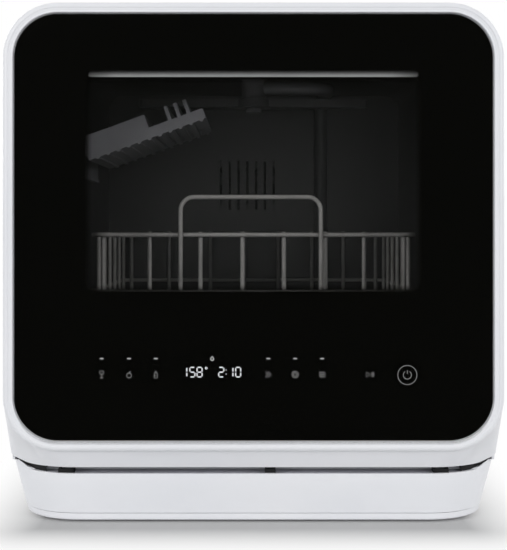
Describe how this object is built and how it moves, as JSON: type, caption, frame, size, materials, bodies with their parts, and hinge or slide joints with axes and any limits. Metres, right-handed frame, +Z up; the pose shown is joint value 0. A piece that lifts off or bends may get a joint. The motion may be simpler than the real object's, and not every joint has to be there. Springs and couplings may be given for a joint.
{
  "type": "countertop dishwasher",
  "caption": "Compact countertop dishwasher with a tilt-down glass door, roll-out wire rack, folding shelf, spray arms, pump and water tank.",
  "frame": {"origin": "centre of the footprint on the worktop, under the middle of the body", "axes": "the glass front faces -Y, +X is to the right seen from the front, +Z is up"},
  "size_m": [0.42, 0.435, 0.44],
  "materials": {
    "white_plastic": "satin white moulding",
    "white_nylon": "plain nylon",
    "tank_plastic": "milky blow-moulded tank",
    "black_rubber": "matt",
    "tub_plastic": "dark grey moulding",
    "grey_plastic": "mid grey moulding",
    "black_plastic": "matt moulding",
    "coated_wire": "nylon-coated steel wire",
    "steel": "plain",
    "front_glass": "clear tempered",
    "inner_pane": "clear tempered",
    "black_print": "fired ceramic print",
    "circuit_board": "solder mask"
  },
  "bodies": {
    "cabinet": {"cabinet_shell": "white_plastic", "rear_cover": "white_plastic", "base_shell": "white_plastic", "base_tray": "white_plastic", "feet": "black_rubber", "toe_panel": "tub_plastic", "tub": "tub_plastic", "door_seal": "black_rubber", "rack_rails": "steel", "vent_cover": "tub_plastic", "sump": "black_plastic", "filter_plate": "steel", "heater_ring": "steel", "float_guide": "grey_plastic", "pump_housing": "black_plastic", "pump_motor": "steel", "suction_pipe": "black_plastic", "feed_pipe": "black_plastic", "riser_pipe": "grey_plastic", "drain_pump": "black_plastic", "drain_spigot": "black_plastic", "water_tank": "tank_plastic", "fill_neck": "black_plastic", "fan_housing": "black_plastic", "main_board": "circuit_board", "power_inlet": "black_plastic", "lock_housing": "black_plastic", "hinge_arms": "steel", "shelf_bracket": "grey_plastic"},
    "door": {"door_frame": "white_plastic", "door_glass": "front_glass", "glass_print": "black_print", "inner_glass": "inner_pane", "window_gasket": "black_rubber", "door_panel": "tub_plastic", "display_module": "circuit_board", "dispenser_cup": "tub_plastic", "lock_strike": "steel", "hinge_blocks": "steel", "hinge_pins": "steel"},
    "rack": {"basket_floor": "coated_wire", "basket_sides": "coated_wire", "basket_ends": "coated_wire", "rack_handle": "coated_wire", "plate_tines": "coated_wire"},
    "filter_cup": {"filter_cup": "grey_plastic"},
    "float": {"float": "white_nylon"},
    "pump_rotor": {"pump_rotor": "black_plastic"},
    "lower_spray_arm": {"lower_spray_arm": "grey_plastic"},
    "upper_spray_arm": {"upper_spray_arm": "grey_plastic"},
    "drain_impeller": {"drain_impeller": "black_plastic"},
    "fill_lid": {"fill_lid": "white_plastic"},
    "fan_wheel": {"fan_wheel": "black_plastic"},
    "lock_bolt": {"lock_bolt": "steel"},
    "cup_shelf": {"cup_shelf": "grey_plastic"},
    "dispenser_lid": {"dispenser_lid": "white_nylon"},
    "roller_front_left": {"roller_front_left": "white_nylon"},
    "roller_front_right": {"roller_front_right": "white_nylon"},
    "roller_rear_left": {"roller_rear_left": "white_nylon"},
    "roller_rear_right": {"roller_rear_right": "white_nylon"}
  },
  "joints": [
    {"name": "door_hinge", "type": "hinge", "parent": "cabinet", "child": "door", "pos_m": [0, -0.2, 0.064], "axis": [1, 0, 0], "range_deg": [0, 90]},
    {"name": "rack_slide", "type": "slide", "parent": "cabinet", "child": "rack", "axis": [0, -1, 0], "range_m": [0, 0.12]},
    {"name": "lower_spray_spin", "type": "hinge", "parent": "cabinet", "child": "lower_spray_arm", "pos_m": [0, -0.02, 0.104], "axis": [0, 0, 1], "continuous": true},
    {"name": "upper_spray_spin", "type": "hinge", "parent": "cabinet", "child": "upper_spray_arm", "pos_m": [0, -0.02, 0.376], "axis": [0, 0, 1], "continuous": true},
    {"name": "pump_spin", "type": "hinge", "parent": "cabinet", "child": "pump_rotor", "pos_m": [0, 0.072, 0.05], "axis": [1, 0, 0], "continuous": true},
    {"name": "drain_spin", "type": "hinge", "parent": "cabinet", "child": "drain_impeller", "pos_m": [0.128, 0.072, 0.034], "axis": [0, 1, 0], "continuous": true},
    {"name": "fan_spin", "type": "hinge", "parent": "cabinet", "child": "fan_wheel", "pos_m": [-0.007, 0.15, 0.3], "axis": [0, 1, 0], "continuous": true},
    {"name": "filter_twist", "type": "hinge", "parent": "cabinet", "child": "filter_cup", "pos_m": [0.088, -0.092, 0.07], "axis": [0, 0, 1], "range_deg": [0, 60]},
    {"name": "float_rise", "type": "slide", "parent": "cabinet", "child": "float", "axis": [0, 0, 1], "range_m": [0, 0.008]},
    {"name": "fill_lid_hinge", "type": "hinge", "parent": "cabinet", "child": "fill_lid", "pos_m": [-0.126, 0.2015, 0.437], "axis": [-1, 0, 0], "range_deg": [0, 100]},
    {"name": "lock_slide", "type": "slide", "parent": "cabinet", "child": "lock_bolt", "axis": [0, 0, -1], "range_m": [0, 0.009], "stiffness_N_per_m": 120},
    {"name": "shelf_fold", "type": "hinge", "parent": "cabinet", "child": "cup_shelf", "pos_m": [-0.158, -0.133, 0.3245], "axis": [0, 1, 0], "range_deg": [0, 20]},
    {"name": "dispenser_slide", "type": "slide", "parent": "door", "child": "dispenser_lid", "axis": [1, 0, 0], "range_m": [0, 0.044]},
    {"name": "roller_front_left_spin", "type": "hinge", "parent": "rack", "child": "roller_front_left", "pos_m": [-0.1595, -0.021, 0.14], "axis": [1, 0, 0], "range_deg": [0, 765]},
    {"name": "roller_front_right_spin", "type": "hinge", "parent": "rack", "child": "roller_front_right", "pos_m": [0.1595, -0.021, 0.14], "axis": [1, 0, 0], "range_deg": [0, 765]},
    {"name": "roller_rear_left_spin", "type": "hinge", "parent": "rack", "child": "roller_rear_left", "pos_m": [-0.1595, 0.089, 0.14], "axis": [1, 0, 0], "range_deg": [0, 765]},
    {"name": "roller_rear_right_spin", "type": "hinge", "parent": "rack", "child": "roller_rear_right", "pos_m": [0.1595, 0.089, 0.14], "axis": [1, 0, 0], "range_deg": [0, 765]}
  ],
  "couplings": [
    {"joint": "rack_slide", "follows": "door_hinge", "m_per_rad": 0.07639},
    {"joint": "roller_front_left_spin", "follows": "door_hinge", "ratio": 8.4878},
    {"joint": "roller_front_right_spin", "follows": "door_hinge", "ratio": 8.4878},
    {"joint": "roller_rear_left_spin", "follows": "door_hinge", "ratio": 8.4878},
    {"joint": "roller_rear_right_spin", "follows": "door_hinge", "ratio": 8.4878}
  ]
}
